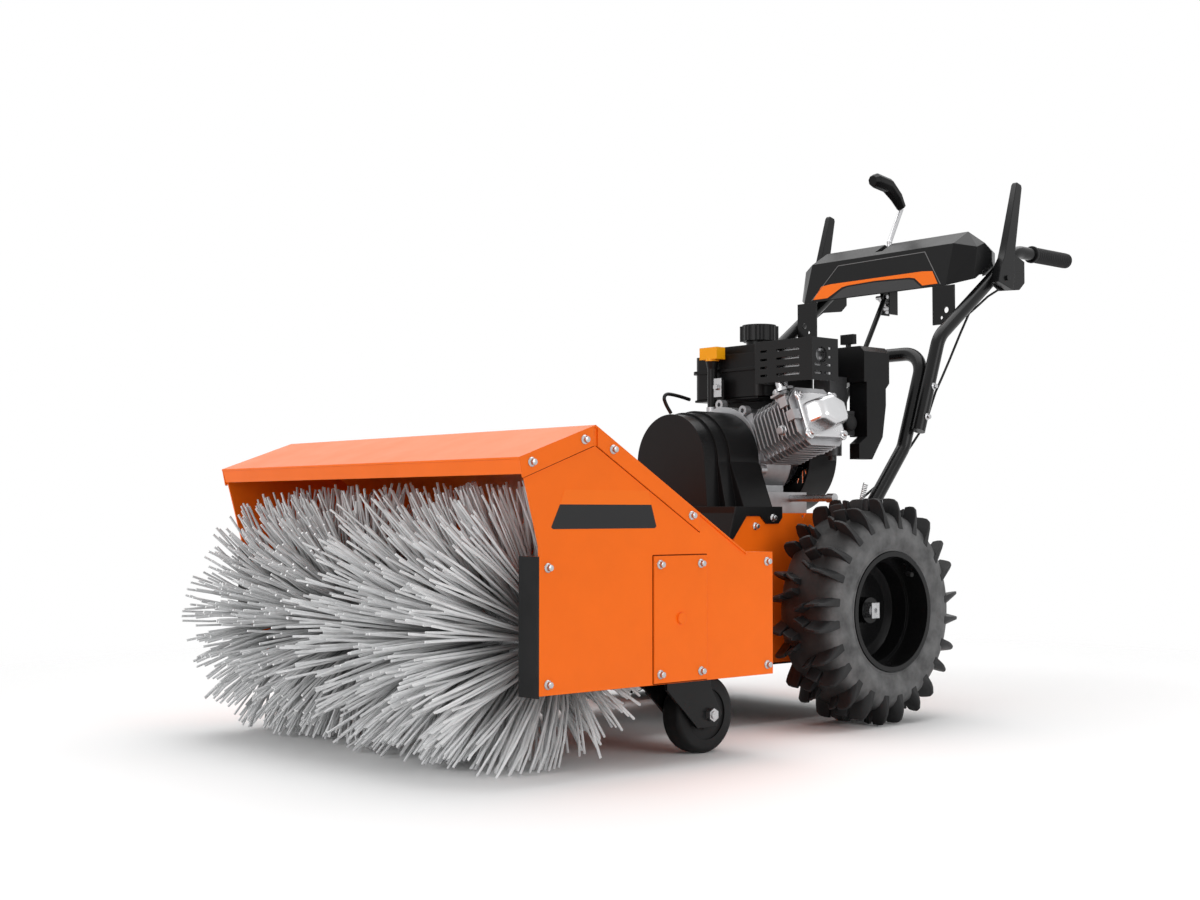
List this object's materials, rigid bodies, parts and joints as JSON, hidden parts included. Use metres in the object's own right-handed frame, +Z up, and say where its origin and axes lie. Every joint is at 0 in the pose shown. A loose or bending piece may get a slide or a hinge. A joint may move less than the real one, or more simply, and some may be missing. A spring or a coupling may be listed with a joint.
{
  "type": "power brush sweeper",
  "caption": "Walk-behind power brush: a sheet-metal hood over a grey bristle roller, small engine, lugged wheels, casters and a tubular handle with levers.",
  "frame": {"origin": "on the ground, in the middle of the machine's overall box", "axes": "+Y runs from the brush towards the grips, +X to the user's left, +Z up"},
  "size_m": [0.812, 1.648, 1.044],
  "materials": {
    "orange_paint": "gloss",
    "black_plastic": "satin",
    "black_rubber": "matte",
    "tyre_rubber": "matte",
    "caster_rubber": "matte",
    "black_paint": "gloss",
    "bright_steel": "satin",
    "cast_alloy": "matte",
    "bright_alloy": "gloss",
    "bristle_plastic": "satin",
    "yellow_plastic": "gloss",
    "cable_sheath": "satin"
  },
  "bodies": {
    "chassis": {"hood_front": "orange_paint", "hood_rear": "orange_paint", "side_panels": "orange_paint", "rear_wall": "orange_paint", "access_covers": "orange_paint", "edge_strips": "black_rubber", "flange_bolts": "bright_steel", "gear_case": "black_paint", "caster_sockets": "black_paint", "main_frame": "orange_paint", "belly_pan": "black_paint", "axle_bearings": "bright_steel", "belt_cover": "black_plastic", "brush_belt": "black_rubber", "crankcase": "cast_alloy", "finned_cylinder": "cast_alloy", "valve_cover": "bright_alloy", "exhaust_pipe": "bright_steel", "muffler_guard": "black_paint", "carburettor": "cast_alloy", "carb_cover": "black_plastic", "fuel_tank": "black_plastic", "blower_housing": "black_plastic", "dipstick_tube": "black_plastic", "drain_pipe": "bright_steel", "lower_handle": "black_paint", "upper_handles": "black_paint", "grips": "black_rubber", "console": "black_plastic", "handle_brackets": "black_paint", "clutch_cables": "cable_sheath"},
    "brush": {"brush_shaft": "bright_steel", "left_bristles": "bristle_plastic", "right_bristles": "bristle_plastic"},
    "input": {"input_shaft": "bright_steel", "brush_pulley": "bright_steel"},
    "crank": {"crankshaft": "bright_steel", "engine_pulley": "bright_steel"},
    "wheels": {"axle_shaft": "bright_steel", "rims": "black_paint", "tyres": "tyre_rubber", "hub_pins": "bright_steel"},
    "left_fork": {"left_caster_fork": "black_paint", "left_caster_axle": "bright_steel"},
    "right_fork": {"right_caster_fork": "black_paint", "right_caster_axle": "bright_steel"},
    "left_caster": {"left_caster_wheel": "caster_rubber"},
    "right_caster": {"right_caster_wheel": "caster_rubber"},
    "left_hand_lever": {"left_lever": "black_paint"},
    "right_hand_lever": {"right_lever": "black_paint"},
    "idler": {"idler_arm": "bright_steel"},
    "speed": {"speed_lever": "bright_steel", "speed_knob": "black_plastic"},
    "shift": {"shift_rod": "black_paint"},
    "primer": {"primer_bulb": "black_rubber"},
    "throttle": {"throttle_knob": "black_plastic"},
    "dip": {"dipstick": "yellow_plastic"},
    "cap": {"fuel_cap": "black_plastic"},
    "pull": {"recoil_handle": "black_plastic"}
  },
  "joints": [
    {"name": "brush_spin", "type": "hinge", "parent": "chassis", "child": "brush", "pos_m": [0, -0.643, 0.183], "axis": [1, 0, 0], "continuous": true},
    {"name": "input_spin", "type": "hinge", "parent": "chassis", "child": "input", "pos_m": [0, 0, 0.233], "axis": [0, 1, 0], "continuous": true},
    {"name": "crank_spin", "type": "hinge", "parent": "chassis", "child": "crank", "pos_m": [0, 0, 0.46], "axis": [0, 1, 0], "continuous": true},
    {"name": "wheel_roll", "type": "hinge", "parent": "chassis", "child": "wheels", "pos_m": [0, 0.1, 0.1905], "axis": [1, 0, 0], "continuous": true},
    {"name": "left_swivel", "type": "hinge", "parent": "chassis", "child": "left_fork", "pos_m": [0.312, -0.389, 0.123], "axis": [0, 0, 1], "continuous": true},
    {"name": "right_swivel", "type": "hinge", "parent": "chassis", "child": "right_fork", "pos_m": [-0.312, -0.389, 0.123], "axis": [0, 0, 1], "continuous": true},
    {"name": "left_caster_roll", "type": "hinge", "parent": "left_fork", "child": "left_caster", "pos_m": [0.312, -0.344, 0.058], "axis": [1, 0, 0], "continuous": true},
    {"name": "right_caster_roll", "type": "hinge", "parent": "right_fork", "child": "right_caster", "pos_m": [-0.312, -0.344, 0.058], "axis": [1, 0, 0], "continuous": true},
    {"name": "left_lever_press", "type": "hinge", "parent": "chassis", "child": "left_hand_lever", "pos_m": [0.2363, 0.562, 0.806], "axis": [-1, 0, 0], "range_deg": [0, 56], "stiffness_Nm_per_rad": 2, "springref_deg": -8.59},
    {"name": "right_lever_press", "type": "hinge", "parent": "chassis", "child": "right_hand_lever", "pos_m": [-0.2363, 0.562, 0.806], "axis": [-1, 0, 0], "range_deg": [0, 56], "stiffness_Nm_per_rad": 2, "springref_deg": -8.59},
    {"name": "idler_swing", "type": "hinge", "parent": "chassis", "child": "idler", "pos_m": [0.11, -0.035, 0.24], "axis": [0, -1, 0], "range_deg": [0, 7.6]},
    {"name": "speed_swing", "type": "hinge", "parent": "chassis", "child": "speed", "pos_m": [-0.016, 0.532, 0.769], "axis": [1, 0, 0], "range_deg": [-10, 10]},
    {"name": "shift_slide", "type": "slide", "parent": "chassis", "child": "shift", "axis": [0, -0.5075, -0.8616], "range_m": [-0.007, 0.007]},
    {"name": "primer_push", "type": "slide", "parent": "chassis", "child": "primer", "axis": [-1, 0, 0], "range_m": [0, 0.006], "stiffness_N_per_m": 300, "springref_m": -0.001},
    {"name": "throttle_turn", "type": "hinge", "parent": "chassis", "child": "throttle", "pos_m": [0.12, 0.24, 0.66], "axis": [0, 0, 1], "range_deg": [0, 60]},
    {"name": "dipstick_pull", "type": "slide", "parent": "chassis", "child": "dip", "axis": [0, 0, 1], "range_m": [0, 0.16]},
    {"name": "cap_turn", "type": "hinge", "parent": "chassis", "child": "cap", "pos_m": [-0.012, 0.142, 0.69], "axis": [0, 0, 1], "range_deg": [0, 90]},
    {"name": "starter_pull", "type": "slide", "parent": "chassis", "child": "pull", "axis": [0, 1, 0], "range_m": [0, 0.4], "stiffness_N_per_m": 20, "springref_m": -0.03}
  ],
  "couplings": [
    {"joint": "input_spin", "follows": "brush_spin", "ratio": 10},
    {"joint": "idler_swing", "follows": "left_lever_press", "ratio": 0.1357},
    {"joint": "shift_slide", "follows": "speed_swing", "m_per_rad": 0.038}
  ]
}
